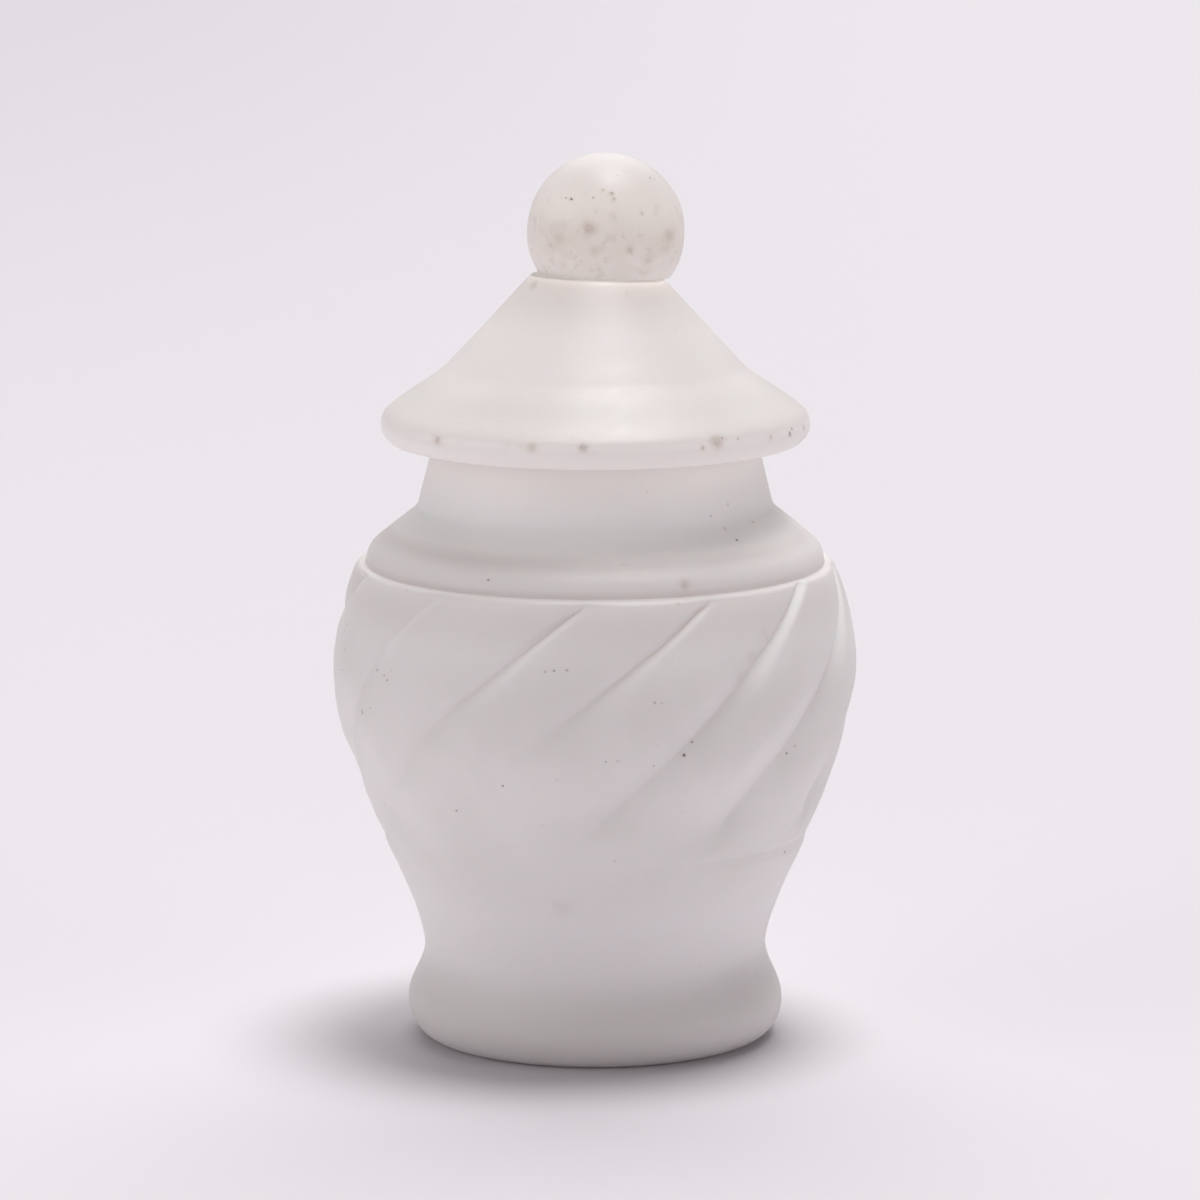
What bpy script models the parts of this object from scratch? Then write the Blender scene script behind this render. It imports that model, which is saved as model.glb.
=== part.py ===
# Small lidded jar of pale, slightly translucent stone.
# A hollow turned jar with ten spiral flutes carved round its belly, a conical lid that rests
# on the neck, and a ball knob fixed a little off centre on the lid.
# Metres, +Z up, the origin in the middle of the underside.

import math

import bpy
from mathutils import Matrix, Vector

# Jar, stacked heights from the table up
foot_height = 0.0093           # table to the waist
stem_height = 0.0107           # waist to the collar under the fluted band
stem_collar_height = 0.00125   # plain collar under the fluted band
band_height = 0.0268           # fluted band, lower step to ledge
belly_rise = 0.01625           # lower step to the widest ring of the belly
shoulder_height = 0.00555      # ledge to the foot of the neck
shoulder_side_height = 0.0014  # ledge to where the shoulder's slope and side would meet
neck_height = 0.0065           # foot of the neck to the rim

# Jar, radii
foot_radius = 0.0189
foot_round_height = 0.0036     # rounded underside of the foot: table to the widest ring
foot_round_width = 0.0029      # and widest ring to the flat base
waist_radius = 0.0172
stem_radius = 0.0212           # collar under the fluted band
band_low_radius = 0.02152      # lower edge of the fluted band
belly_radius = 0.02625
belly_round = 0.0245           # radius of the belly's curve, seen from the side
ledge_width = 0.0011
ledge_round = 0.0009           # worn outer edge of the ledge
shoulder_round = 0.0025
neck_foot_radius = 0.01785
rim_radius = 0.0161
stem_flare = 1.4               # exponent of the stem's outward curve

# Hollow of the jar
rim_wall = 0.0036
belly_wall = 0.0045            # behind the deepest point of the flutes
floor_thickness = 0.0080

# Flutes, cut by hand and so uneven: degrees round from the front at the ledge, and the degrees
# that each one turns on its way down to the lower step
flutes = ((-159, 66), (-117, 67), (-74, 66), (-38.5, 62), (-1.5, 69),
          (28.5, 74), (57, 68), (86, 62), (122, 60), (161, 64))
flute_bow = 0.3                # how much faster than on the whole a flute turns at its top
flute_depth_top = 0.0009
flute_depth_low = 0.0003
flute_entry = 0.0010           # height over which a flute deepens below the ledge
flute_entry_share = 0.35       # share of its depth at the ledge itself
flute_exit = 0.0028            # height over which a flute runs out above the lower step
wall_width_top = 0.11          # shares of a lobe's width: the long wall that faces up
wall_width_low = 0.34
cut_width_top = 0.05           # and the short wall that faces down
cut_width_low = 0.24
lobe_swell = 0.0002            # how far a lobe's middle stands out from its edges
lobe_columns = (0.0, 0.11, 0.27, 0.45, 0.63, 0.80, 0.95)

# Lid
lid_gap = 0.0003               # joint between the rim and the lid
lid_height = 0.0164            # underside to the knob's seat
lid_radius = 0.02135
lid_edge_height = 0.00165      # underside to the widest ring
lid_edge_rise = 0.0010         # widest ring to the crease below the flank
lid_edge_round = 0.0021
lid_top_radius = 0.00646
lid_flare = 0.0020             # how far the flank kicks out above the crease
flare_start = 0.64             # share of the flank above the flare
seat_stock = 0.0006            # stone above the knob's seat before it is cut
spigot_depth = 0.0018          # hidden boss that keeps the lid from sliding
spigot_clearance = 0.0004

# Knob
knob_radius = 0.00783
knob_cut = 0.00435             # ball's centre above its flat base
knob_gap = 0.0003
knob_offset = 0.0009           # to the right of the lid's axis
seat_tilt = 2.3                # degrees, down to the right

# Fineness
lid_steps = 56
knob_steps = 28
hollow_steps = 40
belly_arc_rows = 11
belly_line_rows = 3
stem_rows = 6
swell_rows = 5
foot_round_rows = 4
shoulder_round_rows = 4
ledge_round_rows = 2
upper_room_rows = 6
lower_room_rows = 8
lid_rows = 11
lid_edge_rows = 6
knob_rows = 11
sharp_angle = 35               # degrees between faces that meet in a visible edge
seat_cut_size = 0.0260         # block that cuts the knob's seat on the lid
cut_overlap = 0.0010           # how far a cutter reaches past the face that it opens
same_point = 0.00001           # closer than this, two points are one

# Rings worked out from the sizes above
stem_top = foot_height + stem_height
step_z = stem_top + stem_collar_height
ledge_z = step_z + band_height
belly_z = step_z + belly_rise
neck_foot_z = ledge_z + shoulder_height
rim_z = neck_foot_z + neck_height
lid_z = rim_z + lid_gap
belly_centre = belly_radius - belly_round
ledge_radius = belly_centre + math.sqrt(belly_round ** 2 - (ledge_z - belly_z) ** 2)
shoulder_radius = ledge_radius - ledge_width
mouth_radius = rim_radius - rim_wall
hollow_radius = belly_radius - flute_depth_top - belly_wall


def arc(centre_r, centre_z, radius, start, end, steps):
    """Points of a circle in the outline's plane, from one angle to another, both in radians."""
    angles = [start + (end - start) * i / steps for i in range(steps + 1)]
    return [(centre_r + radius * math.cos(a), centre_z + radius * math.sin(a)) for a in angles]


def fillet(before, corner, after, radius, steps):
    """An arc that rounds one corner of the outline and touches both of its straight sides."""
    before, corner, after = Vector(before), Vector(corner), Vector(after)
    to_before, to_after = before - corner, after - corner
    half = to_before.angle(to_after) / 2
    reach = min(radius / math.tan(half), to_before.length, to_after.length)
    radius = reach * math.tan(half)
    inward = (to_before.normalized() + to_after.normalized()).normalized()
    centre = corner + inward * radius / math.sin(half)
    first = corner + to_before.normalized() * reach - centre
    last = corner + to_after.normalized() * reach - centre
    start = math.atan2(first.y, first.x)
    turn = math.atan2(first.x * last.y - first.y * last.x, first.dot(last))
    return arc(centre.x, centre.y, radius, start, start + turn, steps)


def smooth_step(t):
    t = min(1.0, max(0.0, t))
    return t * t * (3 - 2 * t)


def blend(low, high, t):
    return low + (high - low) * t


def belly_outline():
    """The belly's arc down from the ledge's worn edge, then the straight line on to the step."""
    start = math.asin((ledge_z - belly_z) / belly_round)
    to_step = Vector((band_low_radius - belly_centre, step_z - belly_z))
    end = math.atan2(to_step.y, to_step.x) + math.acos(min(1.0, belly_round / to_step.length))
    belly = arc(belly_centre, belly_z, belly_round, start, end, belly_arc_rows)
    ledge_inside = (shoulder_radius, ledge_z)
    points = fillet(ledge_inside, belly[0], belly[1], ledge_round, ledge_round_rows) + belly[1:]
    last_r, last_z = belly[-1]
    for i in range(1, belly_line_rows + 1):
        t = i / belly_line_rows
        points.append((blend(last_r, band_low_radius, t), blend(last_z, step_z, t)))
    return points


def foot_outline():
    """Stem, waist and foot: an outward power curve, a cosine swell and a quarter of an ellipse."""
    points = []
    for i in range(stem_rows):
        t = 1 - i / stem_rows
        points.append((blend(waist_radius, stem_radius, t ** stem_flare), foot_height + stem_height * t))
    for i in range(swell_rows):
        t = i / swell_rows
        radius = blend(waist_radius, foot_radius, (1 - math.cos(math.pi * t)) / 2)
        points.append((radius, blend(foot_height, foot_round_height, t)))
    for i in range(foot_round_rows + 1):
        angle = math.pi / 2 * i / foot_round_rows
        radius = foot_radius - foot_round_width * (1 - math.cos(angle))
        points.append((radius, foot_round_height * (1 - math.sin(angle))))
    return points


def jar_outline():
    """Outside of the jar from the middle of the top, down its side, to the middle of the base."""
    neck_foot = (neck_foot_radius, neck_foot_z)
    shoulder_corner = (shoulder_radius, ledge_z + shoulder_side_height)
    collar_foot = (shoulder_radius, ledge_z)
    points = [(0.0, rim_z), (rim_radius, rim_z)]
    points.append((blend(rim_radius, neck_foot_radius, 0.5), blend(rim_z, neck_foot_z, 0.5)))
    points.append(neck_foot)
    points += fillet(neck_foot, shoulder_corner, collar_foot, shoulder_round, shoulder_round_rows)
    points.append(collar_foot)
    points += belly_outline()
    points.append((stem_radius, step_z))
    points += foot_outline()
    points.append((0.0, 0.0))
    return points


def hollow_outline():
    """Inside of the jar: a straight mouth and an egg-shaped room below it."""
    points = [(0.0, rim_z + cut_overlap), (mouth_radius, rim_z + cut_overlap)]
    for i in range(upper_room_rows):
        angle = math.pi / 2 * (1 - i / upper_room_rows)
        radius = blend(mouth_radius, hollow_radius, math.cos(angle))
        points.append((radius, blend(belly_z, neck_foot_z, math.sin(angle))))
    for i in range(lower_room_rows + 1):
        angle = math.pi / 2 * i / lower_room_rows
        radius = hollow_radius * math.cos(angle) if i < lower_room_rows else 0.0
        points.append((radius, blend(belly_z, floor_thickness, math.sin(angle))))
    return points


def lid_outline():
    """The lid above its own underside: cone with a kicked-out foot, round edge and hidden boss."""
    start = math.asin(min(1.0, lid_edge_rise / lid_edge_round))
    end = -math.asin(min(1.0, lid_edge_height / lid_edge_round))
    edge = arc(lid_radius - lid_edge_round, lid_edge_height, lid_edge_round, start, end, lid_edge_rows)
    crease_r, crease_z = edge[0]
    flank_height = lid_height - crease_z
    stock_t = -seat_stock / flank_height
    points = [(0.0, lid_height + seat_stock)]
    for i in range(lid_rows):
        t = blend(stock_t, 1, i / lid_rows)
        cone = blend(lid_top_radius, crease_r - lid_flare, t)
        flare = lid_flare * smooth_step((t - flare_start) / (1 - flare_start))
        points.append((cone + flare, lid_height - flank_height * t))
    points += edge
    spigot_radius = mouth_radius - spigot_clearance
    points += [(spigot_radius, 0.0), (spigot_radius, -spigot_depth), (0.0, -spigot_depth)]
    return points


def knob_outline():
    """The ball above its flat base."""
    base_angle = -math.asin(knob_cut / knob_radius)
    points = arc(0.0, knob_cut, knob_radius, math.pi / 2, base_angle, knob_rows)
    points[0] = (0.0, knob_cut + knob_radius)
    points.append((0.0, 0.0))
    return points


def stone(name, colour, roughness):
    material = bpy.data.materials.new(name)
    material.use_nodes = True
    shader = material.node_tree.nodes["Principled BSDF"]
    shader.inputs["Base Color"].default_value = (*colour, 1.0)
    shader.inputs["Roughness"].default_value = roughness
    shader.inputs["Metallic"].default_value = 0.0
    material.diffuse_color = (*colour, 1.0)
    return material


def turned(name, outline, steps, collection, material=None):
    """A solid of revolution: the outline as edges, turned by a Screw modifier."""
    mesh = bpy.data.meshes.new(name)
    edges = [(i, i + 1) for i in range(len(outline) - 1)]
    mesh.from_pydata([(r, 0.0, z) for r, z in outline], edges, [])
    obj = bpy.data.objects.new(name, mesh)
    collection.objects.link(obj)
    screw = obj.modifiers.new("Turning", "SCREW")
    screw.steps = steps
    screw.render_steps = steps
    screw.use_merge_vertices = True
    screw.merge_threshold = same_point
    screw.use_smooth_shade = True
    if material:
        mesh.materials.append(material)
    return obj


def freeze(obj):
    """Makes an object's evaluated shape its own mesh, shaded smooth up to its sharp edges."""
    depsgraph = bpy.context.evaluated_depsgraph_get()
    mesh = bpy.data.meshes.new_from_object(obj.evaluated_get(depsgraph))
    mesh.name = obj.name
    obj.modifiers.clear()
    obj.data = mesh
    mesh.shade_smooth()
    mesh.set_sharp_from_angle(angle=math.radians(sharp_angle))


def cut_away(obj, cutter):
    cutter.hide_render = True
    cutter.display_type = "WIRE"
    boolean = obj.modifiers.new("Cut by " + cutter.name, "BOOLEAN")
    boolean.operation = "DIFFERENCE"
    boolean.solver = "EXACT"
    boolean.object = cutter


def flute_cut(share, low):
    """Depth, from 0 to 1, across one lobe: a cut at its start and end that widens downwards."""
    wall = blend(wall_width_top, wall_width_low, low)
    cut = blend(cut_width_top, cut_width_low, low)
    return max(0.0, 1 - share / wall, 1 - (1 - share) / cut)


def on_band(radius, height):
    """Whether a point lies on the fluted band, from the lower step up to the ledge's outer edge."""
    on_ledge = abs(height - ledge_z) < same_point and radius > shoulder_radius + same_point
    return on_ledge or step_z + same_point < height < ledge_z - same_point


def flute_angle(lobe, share, low):
    """Degrees round from the front, at a share of the way from one flute to the next."""
    top, turn = flutes[lobe]
    next_top, next_turn = flutes[(lobe + 1) % len(flutes)]
    if lobe + 1 == len(flutes):
        next_top += 360
    turned_share = low + flute_bow * low * (1 - low)
    return blend(top, next_top, share) - blend(turn, next_turn, share) * turned_share


def carve_flutes(obj):
    """Leans the turned columns along the flutes and sinks them to the carved surface."""
    columns = len(lobe_columns)
    column_count = columns * len(flutes)
    column_angle = 2 * math.pi / column_count
    for vertex in obj.data.vertices:
        radius = math.hypot(vertex.co.x, vertex.co.y)
        height = vertex.co.z
        if radius < same_point:
            continue
        column = round(math.atan2(vertex.co.y, vertex.co.x) / column_angle) % column_count
        lobe, place = divmod(column, columns)
        share = lobe_columns[place]
        low = min(1.0, max(0.0, (ledge_z - height) / band_height))
        # The front is at -Y, and degrees run from it towards +X
        angle = math.radians(flute_angle(lobe, share, low) - 90)
        if on_band(radius, height):
            entry = blend(flute_entry_share, 1, smooth_step((ledge_z - height) / flute_entry))
            leave = smooth_step((height - step_z) / flute_exit)
            depth = blend(flute_depth_top, flute_depth_low, low) * entry * leave
            swell = lobe_swell * (2 * share - 1) ** 2 * leave
            radius -= max(depth * flute_cut(share, low), swell)
        vertex.co.x = radius * math.cos(angle)
        vertex.co.y = radius * math.sin(angle)
    obj.data.update()


def build_jar(parts, cutters, material):
    jar = turned("jar", jar_outline(), len(lobe_columns) * len(flutes), parts, material)
    freeze(jar)
    carve_flutes(jar)
    jar.data.set_sharp_from_angle(angle=math.radians(sharp_angle))
    cut_away(jar, turned("jar_hollow", hollow_outline(), hollow_steps, cutters))
    return jar


def seat_frame():
    """Where the knob's seat lies on the lid: above the lid's underside, tilted down to the right."""
    tilt = Matrix.Rotation(math.radians(seat_tilt), 4, "Y")
    return Matrix.Translation((0.0, 0.0, lid_height)) @ tilt


def build_lid(parts, cutters, material):
    lid = turned("lid", lid_outline(), lid_steps, parts, material)
    lid.location = (0.0, 0.0, lid_z)
    bpy.ops.mesh.primitive_cube_add(size=seat_cut_size)
    block = bpy.context.object
    block.name = "seat_cut"
    for collection in block.users_collection:
        collection.objects.unlink(block)
    cutters.objects.link(block)
    block.parent = lid
    block.matrix_local = seat_frame() @ Matrix.Translation((0.0, 0.0, seat_cut_size / 2))
    cut_away(lid, block)
    return lid


def build_knob(parts, lid, material):
    knob = turned("knob", knob_outline(), knob_steps, parts, material)
    knob.parent = lid
    knob.matrix_local = seat_frame() @ Matrix.Translation((knob_offset, 0.0, knob_gap))
    return knob


def main():
    for obj in list(bpy.data.objects):
        bpy.data.objects.remove(obj, do_unlink=True)
    parts = bpy.data.collections.new("lidded_jar")
    cutters = bpy.data.collections.new("cutters")
    for collection in (parts, cutters):
        bpy.context.scene.collection.children.link(collection)
    pale = stone("pale_stone", (0.78, 0.74, 0.73), 0.45)
    lid_pale = stone("lid_stone", (0.84, 0.79, 0.77), 0.42)
    warm = stone("warm_stone", (0.72, 0.66, 0.62), 0.35)
    build_jar(parts, cutters, pale)
    lid = build_lid(parts, cutters, lid_pale)
    build_knob(parts, lid, warm)
    bpy.context.view_layer.update()


main()
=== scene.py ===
import math
import bmesh
import bpy
import numpy as np
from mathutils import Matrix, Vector
from mathutils.bvhtree import BVHTree


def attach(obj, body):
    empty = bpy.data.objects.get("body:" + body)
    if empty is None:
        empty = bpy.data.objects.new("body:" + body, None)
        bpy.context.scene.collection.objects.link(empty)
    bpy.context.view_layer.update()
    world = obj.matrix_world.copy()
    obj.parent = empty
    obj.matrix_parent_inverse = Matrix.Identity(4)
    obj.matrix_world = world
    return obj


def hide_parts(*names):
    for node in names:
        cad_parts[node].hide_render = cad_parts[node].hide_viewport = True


# A small jar of pale, slightly translucent stone with spiral flutes, a conical lid and a ball knob
# Lengths in the dictionaries are millimetres; angles are degrees, from the front to the right

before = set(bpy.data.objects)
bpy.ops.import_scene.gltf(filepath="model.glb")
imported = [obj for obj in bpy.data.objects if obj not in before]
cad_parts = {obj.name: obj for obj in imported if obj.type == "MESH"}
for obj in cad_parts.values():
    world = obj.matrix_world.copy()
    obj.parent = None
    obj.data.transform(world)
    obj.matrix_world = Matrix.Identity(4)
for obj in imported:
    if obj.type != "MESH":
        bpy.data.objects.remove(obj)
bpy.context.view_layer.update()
mm = 0.001


# Small helpers for shapes

def smoothStep(t):
    t = np.clip(t, 0.0, 1.0)
    return t * t * (3 - 2 * t)


def mix(start, end, t):
    return start + (end - start) * t


def arcOf(centreR, centreZ, radius, start, end, count=60):
    # Circle in the outline's plane between two angles in radians
    angles = np.linspace(start, end, count)
    return np.column_stack([centreR + radius * np.cos(angles), centreZ + radius * np.sin(angles)])


def roundedCorner(before, corner, after, radius, count=40):
    # Arc that touches both straight sides of a corner
    before, corner, after = np.array(before), np.array(corner), np.array(after)
    toBefore = (before - corner) / np.linalg.norm(before - corner)
    toAfter = (after - corner) / np.linalg.norm(after - corner)
    half = math.acos(np.clip(toBefore @ toAfter, -1, 1)) / 2
    inward = (toBefore + toAfter) / np.linalg.norm(toBefore + toAfter)
    centre = corner + inward * radius / math.sin(half)
    first = corner + toBefore * radius / math.tan(half) - centre
    last = corner + toAfter * radius / math.tan(half) - centre
    start = math.atan2(first[1], first[0])
    turn = math.atan2(first[0] * last[1] - first[1] * last[0], first @ last)
    return arcOf(centre[0], centre[1], radius, start, start + turn, count)


def unevenness(points, size, seed):
    # Gentle unevenness from about -1 to 1: a sum of sine waves in random directions
    rng = np.random.default_rng(seed)
    total = np.zeros(len(points))
    waveCount = 10
    for wave in range(waveCount):
        direction = rng.normal(size=3)
        direction *= 2 * math.pi / (size * rng.uniform(0.7, 1.6) * np.linalg.norm(direction))
        total += np.sin(points @ direction + rng.uniform(0, 2 * math.pi))
    return total / math.sqrt(waveCount)


class Outline:
    # A turned piece's side view as a dense line, softened by a running average along its length
    step = 0.02
    wornSoftness = 1.1

    def __init__(self, sections, softness):
        # Each section is an array of (radius, height) and the widest row spacing wanted there
        points = np.vstack([section for section, spacing in sections])
        spacings = np.concatenate([np.full(len(section), gap) for section, gap in sections])
        lengths = np.concatenate([[0], np.cumsum(np.linalg.norm(np.diff(points, axis=0), axis=1))])
        self.along = np.arange(0, lengths[-1], self.step)
        self.radius = self.softened(np.interp(self.along, lengths, points[:, 0]), softness)
        self.height = self.softened(np.interp(self.along, lengths, points[:, 1]), softness)
        self.radius[0] = self.radius[-1] = 0.0
        self.wornRadius = self.softened(self.radius, self.wornSoftness)
        self.wornHeight = self.softened(self.height, self.wornSoftness)
        self.spacing = np.interp(self.along, lengths, spacings)

    def softened(self, values, softness):
        # Bell-shaped average; the line is carried on past both ends first, so that they stay
        reach = int(4 * softness / self.step)
        bell = np.exp(-0.5 * (np.arange(-reach, reach + 1) * self.step / softness) ** 2)
        start = 2 * values[0] - values[reach:0:-1]
        end = 2 * values[-1] - values[-2:-reach - 2:-1]
        return np.convolve(np.concatenate([start, values, end]), bell / bell.sum(), "valid")

    def rows(self, turnPerRow=0.25):
        # Places along the line, close together where it bends
        heading = np.unwrap(np.arctan2(np.gradient(self.height), np.gradient(self.radius)))
        bend = np.abs(np.gradient(heading)) / self.step
        rate = np.cumsum(np.maximum(1 / self.spacing, bend / turnPerRow)) * self.step
        count = int(rate[-1])
        return np.interp(np.linspace(rate[0], rate[-1], count), rate, self.along)

    def at(self, along):
        return np.interp(along, self.along, self.radius), np.interp(along, self.along, self.height)

    def wornAt(self, along):
        # The same line where wear has taken its edges away
        return (np.interp(along, self.along, self.wornRadius),
                np.interp(along, self.along, self.wornHeight))


def evenColumns(count):
    return np.arange(count) / count


def turnedMesh(name, rows, columns, surface):
    # Grid of rows by columns, closed round, with one point at each end
    rowPlaces, columnPlaces = rows[1:-1], columns
    across, along = np.meshgrid(columnPlaces, rowPlaces)
    u = np.concatenate([[0.0], across.ravel(), [0.0]])
    v = np.concatenate([[rows[0]], along.ravel(), [rows[-1]]])
    rowCount, columnCount = len(rowPlaces), len(columnPlaces)
    here = 1 + np.arange(columnCount)
    after = 1 + (np.arange(columnCount) + 1) % columnCount
    firstRow = (np.arange(rowCount - 1) * columnCount)[:, None]
    quads = np.stack([firstRow + here, firstRow + after, firstRow + columnCount + after,
                      firstRow + columnCount + here], axis=-1).reshape(-1, 4)
    lastRow = (rowCount - 1) * columnCount
    end = 1 + rowCount * columnCount
    caps = [(0, int(b), int(a)) for a, b in zip(here, after)]
    caps += [(end, int(a), int(b)) for a, b in zip(lastRow + here, lastRow + after)]
    mesh = bpy.data.meshes.new(name)
    mesh.from_pydata((surface(u, v) * mm).tolist(), [], quads.tolist() + caps)
    for attribute, values in (("u", u), ("v", v)):
        mesh.attributes.new(attribute, "FLOAT", "POINT").data.foreach_set("value", values)
    return mesh


def readPoints(mesh):
    points = np.empty(len(mesh.vertices) * 3)
    mesh.vertices.foreach_get("co", points)
    return points.reshape(-1, 3) / mm


def writePoints(mesh, points):
    mesh.vertices.foreach_set("co", (points * mm).ravel())
    mesh.update()


def readAttribute(mesh, name):
    values = np.empty(len(mesh.vertices))
    mesh.attributes[name].data.foreach_get("value", values)
    return values


# Camera, at the picture's angle

cameraSettings = {
    "distance": 700,          # level distance from the jar's axis
    "elevation": 10.04,       # degrees above the table's plane
    "aimHeight": 44.04,       # where the line of sight meets the jar's axis
    "right": 0.48,            # beside the axis
    "focalPixels": 7108.9,    # focal length in pixels of the picture
    "pictureSize": 1200,      # pixels, both ways
}


def makeCamera():
    c = cameraSettings
    data = bpy.data.cameras.new("camera")
    data.sensor_width = 36
    data.lens = data.sensor_width * c["focalPixels"] / c["pictureSize"]
    data.clip_start = 0.05
    data.clip_end = 100
    camera = bpy.data.objects.new("camera", data)
    bpy.context.scene.collection.objects.link(camera)
    height = c["aimHeight"] + c["distance"] * math.tan(math.radians(c["elevation"]))
    camera.location = (c["right"] * mm, -c["distance"] * mm, height * mm)
    camera.rotation_euler = (math.radians(90 - c["elevation"]), 0, 0)
    bpy.context.scene.camera = camera
    bpy.context.view_layer.update()
    return camera


camera = makeCamera()


def rayThrough(pixel):
    # Start and direction, in millimetres, of the line of sight through a pixel of the picture
    c = cameraSettings
    half = c["pictureSize"] / 2
    inCamera = Vector((pixel[0] - half, half - pixel[1], -c["focalPixels"]))
    direction = camera.matrix_world.to_3x3() @ inCamera.normalized()
    return camera.matrix_world.translation / mm, direction


# Pits and brown inclusions

mark = {
    "farAngles": (97, 263),       # the side that the picture doesn't show
    "farDepths": (0.03, 0.14),    # of the pits there
    "outside": 60,                # further from the axis than any piece reaches
    "margin": 0.15,               # refined stone round each pit
    "cuts": 5,                    # of each face's edge near a pit
    "darkDepth": 0.22,            # at which a pit is as dark as it gets
    "tintReach": 1.3,             # of the brown tint, in half widths of its mark
}


def hiddenMarks(seed, count, heights, widths, brown):
    # Marks on the far side: angle from the front, height, width, depth and brownness
    rng = np.random.default_rng(seed)
    return [(rng.uniform(*mark["farAngles"]), rng.uniform(*heights), rng.uniform(*widths),
             rng.uniform(*mark["farDepths"]), rng.uniform(0.5, 1.0) * brown)
            for each in range(count)]


def placeMarks(mesh, marks, hidden):
    # A mark in the picture lies on its pixel's line of sight; a hidden one is met from outside
    tree = BVHTree.FromPolygons(readPoints(mesh).tolist(), [p.vertices for p in mesh.polygons])
    lines = [rayThrough(each[:2]) for each in marks]
    for angle, height in (each[:2] for each in hidden):
        outward = Vector((math.sin(math.radians(angle)), -math.cos(math.radians(angle)), 0))
        lines.append((outward * mark["outside"] + Vector((0, 0, height)), -outward))
    placed = []
    for (start, direction), each in zip(lines, marks + hidden):
        place = tree.ray_cast(start, direction)[0]
        if place is not None:
            placed.append((np.array(place), *each[2:]))
    return placed


def refineNear(mesh, placed):
    # Splits the faces round each mark into a fine grid, so that a pit is a true hollow
    points = readPoints(mesh)
    near = np.zeros(len(points), bool)
    for place, width, depth, brown in placed:
        if depth > 0:
            reach = width / 2 * (1 + min(1, 2 * brown)) + mark["margin"]
            near |= np.linalg.norm(points - place, axis=1) < reach
    across = readAttribute(mesh, "u")
    form = bmesh.new()
    form.from_mesh(mesh)
    edges = set()
    for face in form.faces:
        corners = [vertex.index for vertex in face.verts]
        if near[corners].any() and len(corners) == 4 and np.ptp(across[corners]) < 0.5:
            edges.update(face.edges)
    bmesh.ops.subdivide_edges(form, edges=list(edges), cuts=mark["cuts"], use_grid_fill=True)
    form.to_mesh(mesh)
    form.free()


def sinkMarks(mesh, placed):
    # Pushes each pit in along the surface's normal and keeps how dark and how brown each point is
    points = readPoints(mesh)
    normals = np.empty(len(points) * 3)
    mesh.vertices.foreach_get("normal", normals)
    normals = normals.reshape(-1, 3)
    ragged = 1 + 0.3 * unevenness(points, 0.3, 11)
    wavy = 1 + 0.25 * unevenness(points, 1.6, 12)
    sunk = np.zeros(len(points))
    dark = np.zeros(len(points))
    tint = np.zeros(len(points))
    for place, width, depth, brown in placed:
        reach = np.linalg.norm(points - place, axis=1) / (width / 2)
        hollow = np.clip(1 - (reach * ragged) ** 2, 0, 1)
        sunk = np.maximum(sunk, depth * hollow)
        dark = np.maximum(dark, smoothStep(hollow * 1.4) * min(1.0, depth / mark["darkDepth"]))
        tint = np.maximum(tint, brown * np.exp(-(reach * wavy / mark["tintReach"]) ** 2))
    writePoints(mesh, points - normals * sunk[:, None])
    for name, values in (("pit", dark), ("brown", tint)):
        mesh.attributes.new(name, "FLOAT", "POINT").data.foreach_set("value", values)


def finishPiece(name, mesh, surface, marks, hidden, material, paintedLightAndShade=None):
    placed = placeMarks(mesh, marks, hidden)
    if placed:
        refineNear(mesh, placed)
        writePoints(mesh, surface(readAttribute(mesh, "u"), readAttribute(mesh, "v")))
    # The optional mask marks where light and shade are painted into the colour
    if paintedLightAndShade:
        values = paintedLightAndShade(readAttribute(mesh, "u"), readPoints(mesh))
        mesh.attributes.new("paintedLightAndShade", "FLOAT", "POINT").data.foreach_set("value", values)
    sinkMarks(mesh, placed)
    for attribute in ("u", "v"):
        mesh.attributes.remove(mesh.attributes[attribute])
    mesh.shade_smooth()
    mesh.materials.append(material)
    piece = bpy.data.objects.new(name, mesh)
    bpy.context.scene.collection.objects.link(piece)
    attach(piece, "root")
    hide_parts(name.replace("Stone", ""))
    triangles = sum(len(p.vertices) - 2 for p in mesh.polygons)
    wanted = len(marks) + len(hidden)
    print(name, "has", triangles, "triangles,", len(placed), "of", wanted, "marks placed")
    return piece


# Materials

class Wire:
    # A socket that takes part in sums as a number does
    def __init__(self, recipe, socket):
        self.recipe = recipe
        self.socket = socket

    def maths(self, operation, first, second=0.0):
        return self.recipe.add("ShaderNodeMath", {"operation": operation}, {0: first, 1: second})

    def __add__(self, other):
        return self.maths("ADD", self, other)

    def __sub__(self, other):
        return self.maths("SUBTRACT", self, other)

    def __rsub__(self, other):
        return self.maths("SUBTRACT", other, self)

    def __mul__(self, other):
        return self.maths("MULTIPLY", self, other)

    def __truediv__(self, other):
        return self.maths("DIVIDE", self, other)

    __radd__ = __add__
    __rmul__ = __mul__

    def clamped(self):
        return self.maths("MINIMUM", self.maths("MAXIMUM", self, 0.0), 1.0)

    def smooth(self, low, high):
        # 0 below low, 1 above high, and smooth between them
        settings = {"interpolation_type": "SMOOTHSTEP"}
        values = {0: self, 1: low, 2: high, 3: 0.0, 4: 1.0}
        return self.recipe.add("ShaderNodeMapRange", settings, values)


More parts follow.
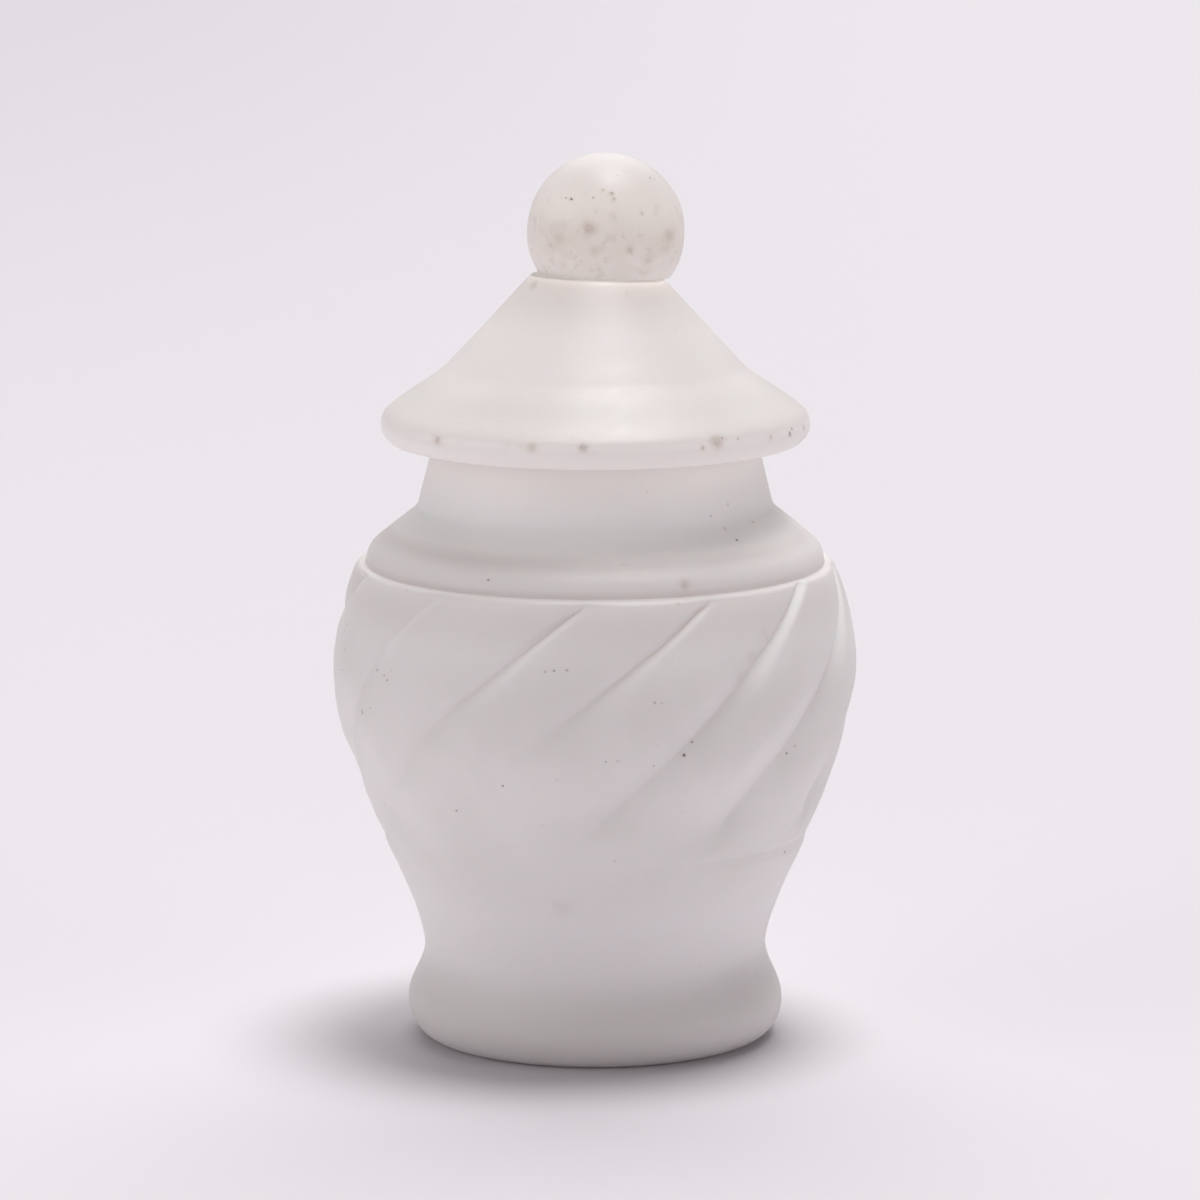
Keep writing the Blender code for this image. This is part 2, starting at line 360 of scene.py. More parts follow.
class Recipe:
    # One material and the nodes that feed its shader
    def __init__(self, name):
        self.material = bpy.data.materials.new(name)
        self.material.use_nodes = True
        self.tree = self.material.node_tree
        self.shader = self.tree.nodes["Principled BSDF"]
        self.place = self.add("ShaderNodeTexCoord", {}, {}, "Object")

    def feed(self, socket, value):
        if isinstance(value, Wire):
            self.tree.links.new(value.socket, socket)
        else:
            socket.default_value = value

    def add(self, kind, settings, values, output=0):
        node = self.tree.nodes.new(kind)
        for key, value in settings.items():
            setattr(node, key, value)
        for key, value in values.items():
            self.feed(node.inputs[key], value)
        return Wire(self, node.outputs[output])

    def stretched(self, scale):
        return self.add("ShaderNodeMapping", {}, {"Vector": self.place, "Scale": scale})

    def noise(self, size, detail=2.0, roughness=0.5, where=None):
        # Size is the width of one patch in millimetres
        values = {"Vector": where or self.place, "Scale": 1 / (size * mm), "Detail": detail,
                  "Roughness": roughness}
        return self.add("ShaderNodeTexNoise", {}, values)

    def attribute(self, name):
        return self.add("ShaderNodeAttribute", {"attribute_name": name}, {}, "Fac")

    def blend(self, factor, first, second):
        # Colours, each a tuple or a link
        values = {0: factor}
        for key, colour in ((6, first), (7, second)):
            values[key] = colour if isinstance(colour, Wire) else (*colour, 1.0)
        return self.add("ShaderNodeMix", {"data_type": "RGBA"}, values, 2)

    def surface(self, **values):
        for name, value in values.items():
            self.feed(self.shader.inputs[name.replace("_", " ")], value)


patch = {"cloud": 9, "dapple": 1.6, "grain": 0.22, "rings": 0.24, "speckle": 1.0}


def stoneMaterial(name, look):
    # Clouds, then painted light and shade by height, then painted light and shade on marked places
    # (paler lit flute walls, a darker knob seat), then warm, flecked, stained and pitted stone
    # over them
    r = Recipe(name)
    cloud = r.noise(patch["cloud"], 3).smooth(0.35, 0.7)
    dapple = r.noise(patch["dapple"], 3, 0.6)
    grain = r.noise(patch["grain"], 2, 0.6)
    rings = r.noise(patch["rings"], 1, 0.5, r.stretched((0.02, 0.02, 1.0)))
    height = r.add("ShaderNodeSeparateXYZ", {}, {0: r.place}, "Z") / mm
    lowPart = height.smooth(look["warmTop"], look["warmFoot"])
    colour = r.blend(cloud * 0.6, look["pale"], look["cloudy"])
    # Painted light and shade: bands by height made lighter or darker to stand in for how the light
    # falls on them
    for start, end, tone in look["paintedLightAndShadeZones"]:
        colour = r.blend(height.smooth(start, end), colour, tone)
    # Painted light and shade: paler colour on the flutes' lit walls, and a painted shadow on the
    # knob's seat
    colour = r.blend(r.attribute("paintedLightAndShade"), colour, look["paintedLightAndShade"])
    warmth = (dapple.smooth(0.38, 0.66) * 0.4 + 0.6) * lowPart * look["warmth"]
    colour = r.blend(warmth, colour, look["warm"])
    fleck = r.noise(look["fleckSize"], 2, 0.6).smooth(look["fleckFrom"], look["fleckFrom"] + 0.06)
    colour = r.blend(fleck * (lowPart * look["fleckLow"] + look["fleck"]), colour, look["brown"])
    speckle = r.noise(patch["speckle"], 2, 0.5).smooth(0.25, 0.7)
    stained = (r.attribute("brown") * (speckle * 0.6 + 0.45)).clamped()
    colour = r.blend(stained, colour, look["brown"])
    colour = r.blend(r.attribute("pit") * 0.95, colour, look["pit"])
    relief = grain * look["grain"] + rings * look["rings"] + dapple * look["dapple"]
    normal = r.add("ShaderNodeBump", {}, {"Height": relief, "Distance": 1.0, "Strength": 1.0})
    roughness = (dapple - 0.5) * 0.25 + look["roughness"]
    r.surface(Base_Color=colour, Roughness=roughness, Normal=normal)
    r.shader.inputs["IOR"].default_value = 1.5
    r.shader.inputs["Subsurface Weight"].default_value = look["glow"]
    r.shader.inputs["Subsurface Radius"].default_value = (1.0, 0.82, 0.72)
    r.shader.inputs["Subsurface Scale"].default_value = look["glowReach"] * mm
    return r.material


# Zones are painted light and shade by height, bands made lighter or darker for how the light
# falls:
# where each starts, where it is full, and its colour. The warm tone grows from warmTop down to
# warmFoot; grain, rings and dapple are heights of fine relief in metres
paleLook = {
    "pale": (0.85, 0.81, 0.80), "cloudy": (0.795, 0.76, 0.74),
    "warm": (0.70, 0.62, 0.56), "brown": (0.42, 0.30, 0.21), "pit": (0.13, 0.10, 0.085),
    # Colour of the painted light on the flutes' lit lower walls
    "paintedLightAndShade": (0.97, 0.925, 0.905),
    "warmTop": 0.0, "warmFoot": -1.0, "warmth": 0.0,
    "fleckSize": 1.1, "fleckFrom": 0.74, "fleck": 0.25, "fleckLow": 0.0,
    "roughness": 0.52, "grain": 0.000012, "rings": 0.000008, "dapple": 0.00002,
    "glow": 0.6, "glowReach": 4.0,
    "paintedLightAndShadeZones": [(20, 14, (0.89, 0.85, 0.85)), (9.5, 3.5, (0.78, 0.735, 0.725)),
              (42, 46, (0.78, 0.73, 0.72)),
              (47.3, 47.8, (0.75, 0.70, 0.69)), (48.3, 48.9, (0.79, 0.74, 0.73)),
              (50.8, 52.1, (0.97, 0.905, 0.885)), (55, 58, (0.93, 0.87, 0.84))],
}
lidLook = {
    # Painted shade: the lid is the jar's stone, set darker because its upward-facing flank gets
    # more light
    **paleLook, "pale": (0.72, 0.675, 0.66), "cloudy": (0.705, 0.655, 0.64), "roughness": 0.47,
    # Colour of the painted shadow on the knob's seat
    "paintedLightAndShade": (0.36, 0.335, 0.32),
    "paintedLightAndShadeZones": [(65.4, 68.4, (0.85, 0.80, 0.785)), (71.5, 76.5, (0.73, 0.68, 0.66)),
              (65.4, 63.4, (0.765, 0.72, 0.705)), (63.3, 62.4, (0.93, 0.875, 0.855)),
              (61.9, 61.0, (0.91, 0.85, 0.82))],
}
knobLook = {
    # The knob's stone is partly its own warmer colour and partly painted light, set lighter for
    # its rounded underside, which gets less light
    **paleLook, "pale": (0.95, 0.89, 0.865), "cloudy": (0.92, 0.855, 0.825),
    "warm": (0.86, 0.75, 0.67), "warmTop": 90.0, "warmFoot": 79.0, "warmth": 0.5,
    "fleckSize": 1.3, "fleckFrom": 0.60, "fleck": 0.03, "fleckLow": 0.10,
    "roughness": 0.46, "glowReach": 8.0,
    "paintedLightAndShadeZones": [(83, 89, (0.69, 0.65, 0.64))],
}


# Jar: foot, stem, fluted belly, ledge, shoulder and neck, and the room inside

jar = {
    "footHeight": 9.3, "stemHeight": 10.7, "collarHeight": 1.25, "bandHeight": 26.8,
    "bellyRise": 16.25, "shoulderHeight": 5.55, "shoulderSide": 1.4, "neckHeight": 6.75,
    "footRadius": 18.9, "footRoundHeight": 3.6, "footRoundWidth": 2.9, "waistRadius": 17.2,
    "stemRadius": 21.2, "bandLowRadius": 21.52, "bellyRadius": 26.25, "bellyRound": 24.5,
    "ledgeWidth": 0.9, "ledgeRound": 1.0, "shoulderRound": 2.5, "neckFootRadius": 17.85,
    "neckFootRound": 1.6, "rimRadius": 16.1, "stemFlare": 1.4, "rimWall": 3.6, "wall": 5.4,
    "floor": 8.0, "softness": 0.13,
    # How far the lower step is worn away all round, and how much more near an angle in front
    "worn": 0.6, "wornMore": 0.35, "wornAngle": -6, "wornSpread": 44,
    # The hand's unevenness: size and depth of the long and short waves, and stone lost to both
    "longWave": 14, "longDepth": 0.05, "shortWave": 5, "shortDepth": 0.025, "lost": 0.06,
}

# Each flute: place at the ledge, turn on its way down, depth at its top and lower down, share of
# the lobe that its lower wall takes at the top, how far below the ledge it starts, the height at
# which it has run out, how much painted light its lower wall gets near the top, and the shares of
# the lobe that its upper wall takes at the top and lower down
flutes = np.array([
    (-159, 66, 0.55, 0.9, 0.10, 0.8, 22.5, 0.40, 0.085, 0.21),
    (-117, 67, 0.50, 0.9, 0.10, 0.9, 23.0, 0.40, 0.085, 0.21),
    (-75, 66, 0.95, 0.8, 0.18, 0.5, 24.0, 0.30, 0.28, 0.28),
    (-38.5, 57, 0.22, 0.75, 0.07, 0.8, 24.0, 0.15, 0.085, 0.38),
    (-0.8, 69, 0.52, 0.6, 0.10, 0.9, 26.0, 0.15, 0.10, 0.24),
    (29.3, 74, 0.58, 0.5, 0.12, 0.8, 31.0, 0.20, 0.11, 0.24),
    (58.5, 68, 0.70, 1.0, 0.14, 0.0, 22.5, 0.90, 0.10, 0.34),
    (87.5, 62, 0.75, 1.35, 0.14, 0.3, 21.5, 0.80, 0.085, 0.40),
    (119, 57, 0.60, 1.35, 0.12, 0.8, 21.5, 0.50, 0.085, 0.40),
    (161, 64, 0.55, 1.1, 0.10, 0.9, 22.5, 0.40, 0.085, 0.30),
])
flute = {
    "bow": 0.3, "wallLow": 0.45, "lead": 0.09,
    "swell": 0.2, "runOut": 5.0, "sway": 0.5, "columns": 33, "crowding": 0.7,
}

stepZ = jar["footHeight"] + jar["stemHeight"] + jar["collarHeight"]
bellyZ = stepZ + jar["bellyRise"]
ledgeZ = stepZ + jar["bandHeight"]
neckFootZ = ledgeZ + jar["shoulderHeight"]
rimZ = neckFootZ + jar["neckHeight"]
bellyCentre = jar["bellyRadius"] - jar["bellyRound"]
ledgeRadius = bellyCentre + math.sqrt(jar["bellyRound"] ** 2 - (ledgeZ - bellyZ) ** 2)
shoulderRadius = ledgeRadius - jar["ledgeWidth"]
toStep = np.array([jar["bandLowRadius"] - bellyCentre, stepZ - bellyZ])
tangentAngle = math.atan2(toStep[1], toStep[0])
tangentAngle += math.acos(jar["bellyRound"] / np.linalg.norm(toStep))


def footSection():
    # Quarter of an ellipse under the foot, a cosine swell to the waist, a power curve up the stem
    j = jar
    turn = np.linspace(math.pi / 2, 0, 40)
    under = np.column_stack([j["footRadius"] - j["footRoundWidth"] * (1 - np.cos(turn)),
                             j["footRoundHeight"] * (1 - np.sin(turn))])
    t = np.linspace(1, 0, 60)
    swell = np.column_stack([mix(j["waistRadius"], j["footRadius"], (1 - np.cos(math.pi * t)) / 2),
                             mix(j["footHeight"], j["footRoundHeight"], t)])
    t = np.linspace(0, 1, 60)
    stem = np.column_stack([mix(j["waistRadius"], j["stemRadius"], t ** j["stemFlare"]),
                            j["footHeight"] + j["stemHeight"] * t])
    return np.vstack([under, swell[1:], stem[1:], [[j["stemRadius"], stepZ]]])


def bandSection():
    # The straight line up from the step, then the belly's arc to the ledge's worn edge
    belly = arcOf(bellyCentre, bellyZ, jar["bellyRound"], tangentAngle,
                  math.asin((ledgeZ - bellyZ) / jar["bellyRound"]), 200)
    edge = roundedCorner(belly[-2], belly[-1], (shoulderRadius, ledgeZ), jar["ledgeRound"])
    start = np.array([[jar["bandLowRadius"], stepZ]])
    return np.vstack([start, belly[belly[:, 1] < edge[0, 1]], edge])


def jarOutline():
    j = jar
    neckFoot = (j["neckFootRadius"], neckFootZ)
    side = (shoulderRadius, ledgeZ + j["shoulderSide"])
    shoulder = roundedCorner((shoulderRadius, ledgeZ), side, neckFoot, j["shoulderRound"])
    neck = roundedCorner(side, neckFoot, (j["rimRadius"], rimZ), j["neckFootRound"])
    mouth = j["rimRadius"] - j["rimWall"]
    room = j["bellyRadius"] - j["wall"]
    turn = np.linspace(0, math.pi / 2, 60)
    upper = np.column_stack([mix(mouth, room, np.sin(turn)),
                             mix(neckFootZ, bellyZ, 1 - np.cos(turn))])
    lower = np.column_stack([room * np.cos(turn), mix(bellyZ, j["floor"], np.sin(turn))])
    return Outline([
        (np.array([[0, 0], [j["footRadius"] - j["footRoundWidth"], 0]]), 4.0),
        (footSection(), 0.45),
        (bandSection(), 0.34),
        (np.vstack([[[shoulderRadius, ledgeZ]], shoulder, neck, [[j["rimRadius"], rimZ]]]), 0.35),
        (np.array([[mouth, rimZ]]), 1.2),
        (np.vstack([upper, lower[1:]]), 2.2),
    ], j["softness"])


def bandRadius(height):
    # The belly's uncut radius: circle above its tangent point, straight line below
    circle = bellyCentre + np.sqrt(jar["bellyRound"] ** 2 - np.clip(height - bellyZ, -24, 24) ** 2)
    tangentR = bellyCentre + jar["bellyRound"] * math.cos(tangentAngle)
    tangentZ = bellyZ + jar["bellyRound"] * math.sin(tangentAngle)
    line = np.interp(height, [stepZ, tangentZ], [jar["bandLowRadius"], tangentR])
    return np.where(height > tangentZ, circle, line)


def acrossFlute(u, height):
    # The nearest flute's values, how low the point is on the band, how near it is to the bottom of
    # the cut (1 there, 0 at the wall's far edge), and whether it is on the lower wall
    low = np.clip((ledgeZ - height) / jar["bandHeight"], 0, 1)
    nearest = np.floor(u + 0.5)
    offset = u - nearest - flute["lead"] * smoothStep(low / 0.7)
    nearFlute = flutes[nearest.astype(int) % len(flutes)].T
    wall = mix(nearFlute[4], flute["wallLow"], smoothStep((low - 0.1) / 0.5))
    cut = mix(nearFlute[8], nearFlute[9], smoothStep(low / 0.6))
    flank = np.where(offset >= 0, 1 - offset / wall, 1 + offset / cut)
    return nearFlute, low, np.clip(flank, 0, 1), offset >= 0


def paintedFluteWallLight(u, points):
    # Painted light: paler colour on each flute's lower wall near its top, where the wall faces up
    # to the light
    height = points[:, 2]
    nearFlute, low, flank, below = acrossFlute(u, height)
    startsBelow, wallLightPaint = nearFlute[5], nearFlute[7]
    fade = smoothStep((ledgeZ - height - startsBelow + 0.3) / 0.8)
    fade *= smoothStep((0.40 - low) / 0.18)
    return wallLightPaint * smoothStep(flank * 2.2) * fade * below * (height < ledgeZ)


def fluteCut(u, height):
    # How far the surface is cut in: a steep short wall above each flute and a long one below it,
    # sharp and narrow at the top, wide and shallow lower down
    nearFlute, low, flank, below = acrossFlute(u, height)
    depthTop, depthLow, start, end = nearFlute[[2, 3, 5, 6]]
    shape = flank ** mix(1.3, 1.6, low)
    entry = smoothStep((ledgeZ - height - start + 0.7) / 1.2)
    leave = smoothStep((height - end) / flute["runOut"])
    depth = mix(depthTop, depthLow, smoothStep(low / 0.75)) * entry * leave
    share = u - np.floor(u)
    nearStep = smoothStep((height - stepZ) / 2.8)
    return np.maximum(depth * shape, flute["swell"] * (2 * share - 1) ** 2 * nearStep)


outline = jarOutline()
aboveStep = (outline.height > stepZ + 0.02) & (outline.radius > jar["waistRadius"] + 2.8)
bandStart = outline.along[np.argmax(aboveStep)]
atLedge = (outline.height > ledgeZ - 0.3) & (outline.along > bandStart)
topOfLedge = outline.along[np.argmax(atLedge)]
insideStart = outline.along[-1] - 60


def jarSurface(u, v):
    # Columns lean along the flutes; radius follows the outline, less the cut and the unevenness
    j = jar
    radius, height = outline.at(v)
    wornR, wornZ = outline.wornAt(v)
    low = np.clip((ledgeZ - height) / j["bandHeight"], 0, 1)
    turned = low + flute["bow"] * low * (1 - low)
    lobe = np.floor(u).astype(int) % len(flutes)
    share = u - np.floor(u)
    after = (lobe + 1) % len(flutes)
    place = mix(flutes[lobe, 0], flutes[after, 0] + np.where(after == 0, 360, 0), share)
    turn = mix(flutes[lobe, 1], flutes[after, 1], share)
    sway = flute["sway"] * np.sin(low * 9 + place * 0.05) * smoothStep(low * 4)
    angle = np.radians(place - turn * turned + sway)
    fromWorn = (np.degrees(angle) - j["wornAngle"] + 180) % 360 - 180
    worn = j["worn"] + j["wornMore"] * np.exp(-(fromWorn / j["wornSpread"]) ** 4)
    worn *= smoothStep(2 - np.abs(v - bandStart) / 4)
    radius, height = mix(radius, wornR, worn), mix(height, wornZ, worn)
    onBand = (v > bandStart) & (v < topOfLedge + 1.6)
    carved = bandRadius(np.minimum(height, ledgeZ)) - fluteCut(u, height)
    radius = np.where(onBand, np.minimum(radius, carved), radius)
    points = np.column_stack([radius * np.sin(angle), -radius * np.cos(angle), height])
    outside = smoothStep(height / 1.5) * smoothStep((rimZ - height) / 2) * (v < insideStart)
    longSwell = unevenness(points, j["longWave"], 3) * j["longDepth"]
    swell = longSwell + unevenness(points, j["shortWave"], 4) * j["shortDepth"] - j["lost"]
    points[:, :2] *= (1 + swell * outside / np.maximum(radius, 1))[:, None]
    return points


def fluteColumns():
    # Columns crowd towards the flutes: share = t - crowding * sin(2 pi t) / (2 pi)
    t = evenColumns(flute["columns"])
    shares = t - flute["crowding"] * np.sin(2 * math.pi * t) / (2 * math.pi)
    return (np.arange(len(flutes))[:, None] + shares).ravel()


# Marks: pixel in the picture across and down, width, depth and how brown the stone is round it.
# The far marks are a fixed draw
jarFar = {"seed": 21, "count": 22, "heights": (6, 52), "widths": (0.16, 0.3), "brown": 0.3}
jarMarks = [
    (711, 516, 0.16, 0.10, 0.2), (737, 540, 0.26, 0.20, 0.4), (753, 522, 0.20, 0.06, 0.5),
    (725, 528, 0.22, 0.04, 0.4), (488, 580, 0.24, 0.18, 0.1), (685, 585, 0.9, 0.02, 0.35),
    (347, 625, 0.3, 0.14, 0.3), (345, 632, 0.2, 0.14, 0.3), (345, 650, 0.22, 0.12, 0.3),
    (342, 670, 0.22, 0.12, 0.3), (377, 670, 0.22, 0.14, 0.3), (384, 675, 0.2, 0.12, 0.3),
    (387, 680, 0.24, 0.14, 0.3), (362, 712, 0.34, 0.16, 0.3), (370, 708, 0.2, 0.12, 0.3),
    (545, 672, 0.2, 0.13, 0.2), (554, 671, 0.24, 0.15, 0.2), (567, 670, 0.22, 0.12, 0.2),
    (655, 703, 0.18, 0.12, 0.2), (692, 742, 0.2, 0.14, 0.3), (684, 755, 0.34, 0.16, 0.4),
    (654, 766, 0.22, 0.18, 0.2), (606, 762, 0.18, 0.16, 0.1), (618, 761, 0.3, 0.02, 0.3),
    (795, 746, 0.18, 0.16, 0.2), (787, 753, 0.22, 0.16, 0.2), (503, 786, 0.26, 0.14, 0.2),
    (557, 780, 0.16, 0.05, 0.2), (456, 811, 0.24, 0.13, 0.2), (542, 825, 0.14, 0.12, 0.1),
    (385, 805, 0.16, 0.13, 0.2), (615, 861, 0.2, 0.06, 0.2), (562, 907, 1.3, 0.0, 0.14),
    (407, 590, 0.2, 0.10, 0.2), (785, 852, 0.4, 0.12, 0.3), (662, 703, 0.16, 0.08, 0.2),
    (766, 634, 0.9, 0.0, 0.16), (752, 657, 1.1, 0.0, 0.2), (740, 676, 1.1, 0.0, 0.16),
]


def buildJar():
    mesh = turnedMesh("jarStone", outline.rows(), fluteColumns(), jarSurface)
    finishPiece("jarStone", mesh, jarSurface, jarMarks, hiddenMarks(**jarFar),
                stoneMaterial("jarStone", paleLook), paintedFluteWallLight)


# Lid: a cone with a kicked-out foot and a rounded edge, its top cut to the knob's tilted seat

lid = {
    "bottom": 60.4, "height": 16.4, "radius": 21.35, "edgeHeight": 1.65, "edgeRise": 1.0,
    "edgeRound": 2.1, "topRadius": 6.46, "flare": 2.0, "flareStart": 0.64, "seatSoftness": 0.5,
    "seatTilt": 2.3, "seatTiltBack": 3.3, "bossDepth": 1.8, "bossRadius": 12.1,
    "softness": 0.12, "columns": 350,
    "longWave": 11, "longDepth": 0.03, "shortWave": 3.5, "shortDepth": 0.010,
}
lidFar = {"seed": 22, "count": 9, "heights": (61.4, 63.4), "widths": (0.3, 0.9), "brown": 0.5}
lidMarks = [
    (534, 285, 0.9, 0.02, 0.3), (627, 294, 0.5, 0.0, 0.25), (437, 440, 0.9, 0.03, 0.3),
    (532, 448, 0.9, 0.02, 0.28), (583, 448, 0.9, 0.04, 0.3), (581, 447, 0.3, 0.06, 0.2),
    (703, 448, 0.4, 0.04, 0.3), (717, 441, 1.3, 0.03, 0.42), (722, 438, 0.3, 0.08, 0.4),
    (738, 439, 0.3, 0.04, 0.4), (771, 437, 0.5, 0.02, 0.3), (790, 434, 0.4, 0.12, 0.8),
    (792, 429, 0.3, 0.08, 0.6), (804, 428, 0.5, 0.04, 0.4), (520, 446, 0.4, 0.0, 0.3),
    (508, 445, 0.4, 0.0, 0.25), (675, 330, 0.3, 0.0, 0.2),
]


def lidOutline():
    l = lid
    start = math.asin(l["edgeRise"] / l["edgeRound"])
    end = -math.asin(l["edgeHeight"] / l["edgeRound"])
    edge = arcOf(l["radius"] - l["edgeRound"], l["edgeHeight"], l["edgeRound"], start, end)
    creaseR, creaseZ = edge[0]
    coneWidth = creaseR - l["flare"] - l["topRadius"]
    t = np.linspace(-l["topRadius"] / coneWidth, 1, 300)
    flared = l["flare"] * smoothStep((t - l["flareStart"]) / (1 - l["flareStart"]))
    flank = np.column_stack([l["topRadius"] + coneWidth * t + flared,
                             l["height"] - (l["height"] - creaseZ) * t])
    inner = flank[:, 0] < l["topRadius"] - 1.5
    under = [[l["bossRadius"], 0], [l["bossRadius"], -l["bossDepth"]], [0, -l["bossDepth"]]]
    return Outline([
        (flank[inner], 0.8), (flank[~inner], 0.22), (edge, 0.22), (np.array(under), 1.5),
    ], l["softness"])


lidLine = lidOutline()


def seatHeight(x, y):
    return (lid["height"] - math.tan(math.radians(lid["seatTilt"])) * x
            - math.tan(math.radians(lid["seatTiltBack"])) * y)


def paintedSeatShadow(u, points):
    # Painted shadow: a dark ring on the flat that the knob sits on, standing in for the knob's
    # contact shadow
    gap = seatHeight(points[:, 0], points[:, 1]) + lid["bottom"] - points[:, 2]
    return smoothStep((0.36 - gap) / 0.2)


def lidSurface(u, v):
    # The turned cone; near its top, the smooth lesser of the cone's and the tilted seat's heights
    radius, height = lidLine.at(v)
    angle = 2 * math.pi * u + math.pi
    x, y = radius * np.sin(angle), -radius * np.cos(angle)
    seat = seatHeight(x, y)
    soft = lid["seatSoftness"]
    nearer = np.clip(0.5 + 0.5 * (seat - height) / soft, 0, 1)
    cut = mix(seat, height, nearer) - soft * nearer * (1 - nearer)
    height = np.where((v < 25) & (radius < 11), cut, height)
    points = np.column_stack([x, y, height + lid["bottom"]])
    longSwell = unevenness(points, lid["longWave"], 5) * lid["longDepth"]
    swell = longSwell + unevenness(points, lid["shortWave"], 6) * lid["shortDepth"]
    onFlank = smoothStep((radius - 8) / 3) * smoothStep(height / 0.6)
    points[:, :2] *= (1 + swell * onFlank / np.maximum(radius, 1))[:, None]
    return points


def buildLid():
    rows, columns = lidLine.rows()[::-1], evenColumns(lid["columns"])
    mesh = turnedMesh("lidStone", rows, columns, lidSurface)
    finishPiece("lidStone", mesh, lidSurface, lidMarks, hiddenMarks(**lidFar),
                stoneMaterial("lidStone", lidLook), paintedSeatShadow)


# Knob: a ball with a flat base, a little off the lid's axis and leaning with its seat

knob = {
    "radius": 7.83, "cut": 4.35, "gap": 0.02, "offset": 0.9, "softness": 0.08, "columns": 230,
    "wave": 6, "waveDepth": 0.025,
}
knobFar = {"seed": 23, "count": 9, "heights": (79, 89), "widths": (0.2, 0.9), "brown": 0.4}
knobMarks = [
    (566, 198, 0.2, 0.10, 0.3), (571, 199, 0.28, 0.2, 0.4), (593, 198, 0.16, 0.12, 0.1),
    (603, 190, 0.3, 0.03, 0.3), (612, 194, 0.4, 0.06, 0.5), (614, 199, 0.4, 0.02, 0.4),
    (617, 176, 0.3, 0.02, 0.1), (650, 178, 0.3, 0.06, 0.3), (655, 180, 0.2, 0.04, 0.2),
    (589, 229, 1.3, 0.02, 0.28), (587, 231, 0.4, 0.03, 0.3), (556, 241, 2.0, 0.0, 0.28),
    (630, 250, 0.6, 0.03, 0.34), (649, 259, 0.9, 0.0, 0.3), (669, 238, 1.4, 0.0, 0.3),
    (642, 214, 0.4, 0.02, 0.25), (613, 217, 0.7, 0.0, 0.3), (594, 250, 0.8, 0.0, 0.25),
]


def knobOutline():
    k = knob
    base = -math.asin(k["cut"] / k["radius"])
    ball = arcOf(0, k["cut"], k["radius"], math.pi / 2, base, 300)
    edge = np.array([[ball[-1, 0], k["gap"]], [0, k["gap"]]])
    return Outline([(ball, 0.2), (edge, 1.0)], k["softness"])


knobLine = knobOutline()


def knobSurface(u, v):
    # The turned ball, tipped about the seat's centre so that it leans to the right and back
    radius, height = knobLine.at(v)
    angle = 2 * math.pi * u + math.pi
    k = knob
    x, y = radius * np.sin(angle) + k["offset"], -radius * np.cos(angle)
    local = np.column_stack([x, y, height])
    fromCentre = local - (k["offset"], 0, k["cut"])
    swell = unevenness(local, k["wave"], 8) * k["waveDepth"] * smoothStep(height / 1.5)
    local += fromCentre * (swell / k["radius"])[:, None]
    tilt, back = math.radians(lid["seatTilt"]), math.radians(lid["seatTiltBack"])
    x = local[:, 0] * math.cos(tilt) + local[:, 2] * math.sin(tilt)
    upright = local[:, 2] * math.cos(tilt) - local[:, 0] * math.sin(tilt)
    y = local[:, 1] * math.cos(back) + upright * math.sin(back)
    z = upright * math.cos(back) - local[:, 1] * math.sin(back)
    return np.column_stack([x, y, z + lid["bottom"] + lid["height"]])


def buildKnob():
    rows, columns = knobLine.rows()[::-1], evenColumns(knob["columns"])
    mesh = turnedMesh("knobStone", rows, columns, knobSurface)
    piece = finishPiece("knobStone", mesh, knobSurface, knobMarks, hiddenMarks(**knobFar),
                        stoneMaterial("knobStone", knobLook))
    # The real knob glows and leaves no dark band on the lid
    piece.visible_shadow = False


# Pale floor and soft studio light

studio = {
    "floorSize": 8.0, "floorColour": (0.72, 0.686, 0.724), "floorFarShade": (0.64, 0.60, 0.65),
    "surround": (1.0, 0.985, 1.0), "surroundStrength": 0.03, "surroundSeen": 0.8,
}
# Each light: strength, spread, and its turns in degrees: tipped from overhead towards the front,
# leaned to the right, then swung round the jar
lights = {
    "topLight": (1.70, 24, -3, 6.5, 0),
    "throughLight": (0.32, 28, -3, 6.5, 0),
    "backLight": (1.44, 58, -45, 0, -3),
    "frontLeftLight": (0.80, 50, 79, 0, -60),
    "frontRightLight": (0.74, 50, 81, 0, 61),
    "frontLight": (0.17, 30, 88, 0, 0),
    "leftLight": (0.29, 60, 0, -52, 0),
}


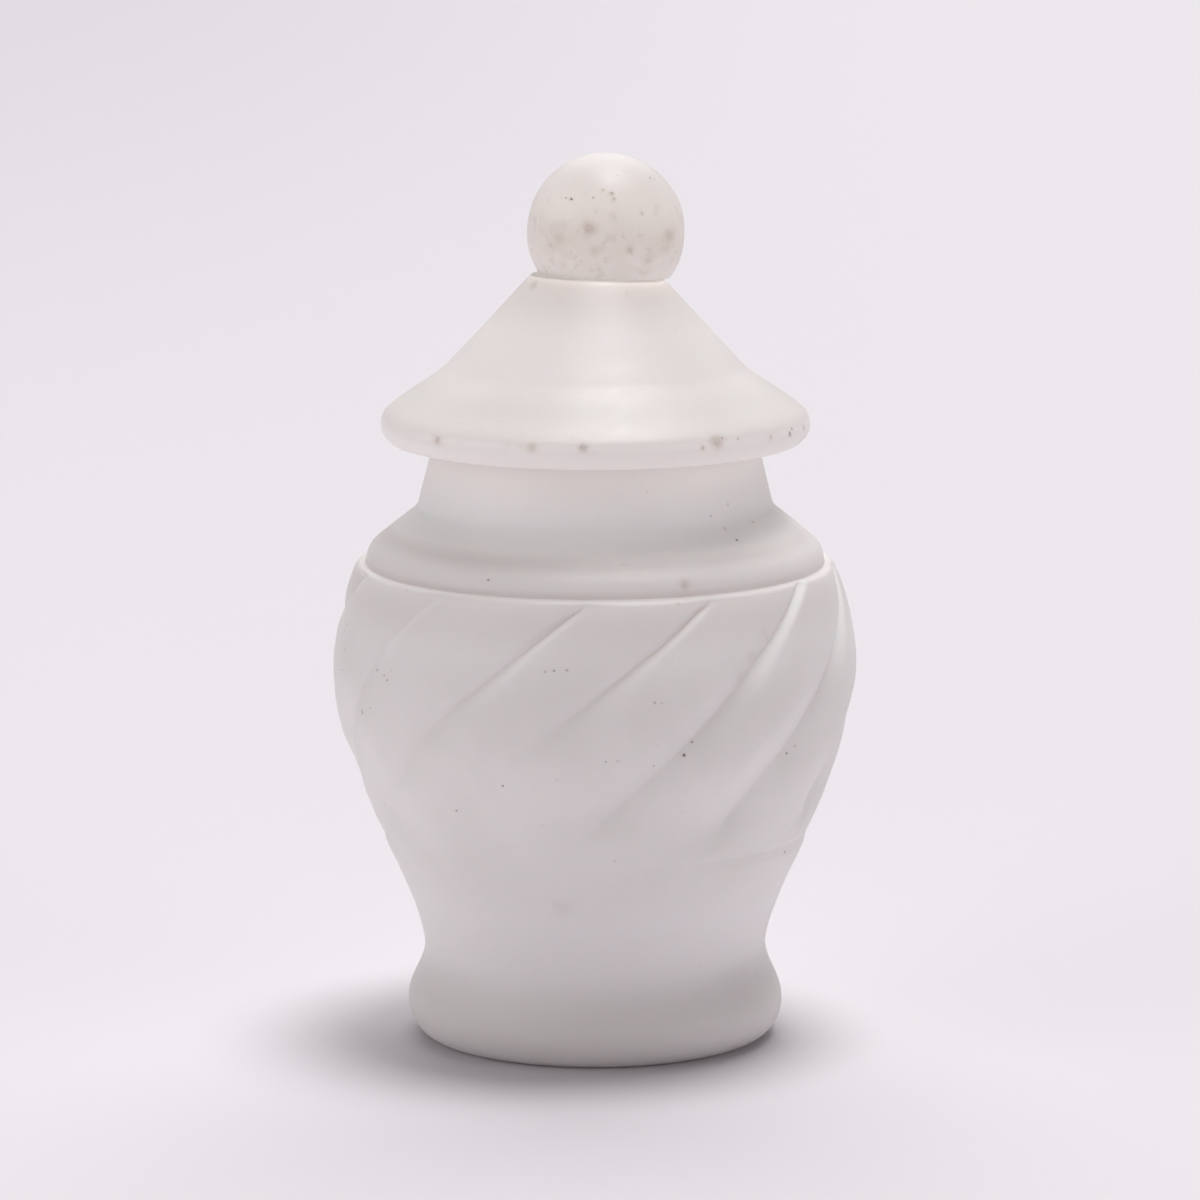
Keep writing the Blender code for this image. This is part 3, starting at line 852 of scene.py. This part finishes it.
def buildStudio():
    s = studio
    half = s["floorSize"] / 2
    mesh = bpy.data.meshes.new("floor")
    mesh.from_pydata([(-half, -half, 0), (half, -half, 0), (half, half, 0), (-half, half, 0)], [],
                     [(0, 1, 2, 3)])
    floor = bpy.data.objects.new("floor", mesh)
    bpy.context.scene.collection.objects.link(floor)
    r = Recipe("floor")
    # Painted shade: the floor grows a little darker far behind the jar, on the left
    across = r.add("ShaderNodeSeparateXYZ", {}, {0: r.place}, "X")
    along = r.add("ShaderNodeSeparateXYZ", {}, {0: r.place}, "Y")
    far = across.smooth(0.10, -0.16) * along.smooth(0.1, 1.2)
    r.surface(Base_Color=r.blend(far, s["floorColour"], s["floorFarShade"]), Roughness=0.75)
    r.shader.inputs["Specular IOR Level"].default_value = 0.2
    mesh.materials.append(r.material)
    for name, (strength, spread, tip, lean, swing) in lights.items():
        data = bpy.data.lights.new(name, "SUN")
        data.energy = strength
        data.angle = math.radians(spread)
        light = bpy.data.objects.new(name, data)
        light.rotation_euler = [math.radians(turn) for turn in (tip, lean, swing)]
        bpy.context.scene.collection.objects.link(light)
    # The lid and the knob let part of the light from above through, as translucent stone does
    opaque = bpy.data.collections.new("opaque")
    opaque.objects.link(floor)
    opaque.objects.link(bpy.data.objects["jarStone"])
    bpy.data.objects["throughLight"].light_linking.blocker_collection = opaque
    # The surround gives hardly any light, and looks as pale as the floor where the camera meets it
    world = bpy.data.worlds.new("surround")
    world.use_nodes = True
    bpy.context.scene.world = world
    nodes, links = world.node_tree.nodes, world.node_tree.links
    path = nodes.new("ShaderNodeLightPath")
    seen = nodes.new("ShaderNodeMix")
    seen.inputs[2].default_value = s["surroundStrength"]
    seen.inputs[3].default_value = s["surroundSeen"]
    links.new(path.outputs["Is Camera Ray"], seen.inputs[0])
    nodes["Background"].inputs["Color"].default_value = (*s["surround"], 1.0)
    links.new(seen.outputs[0], nodes["Background"].inputs["Strength"])
    bpy.context.scene.view_settings.view_transform = "Standard"


print("building the jar")
buildJar()
print("building the lid and its knob")
buildLid()
buildKnob()
print("setting the floor and the light")
buildStudio()
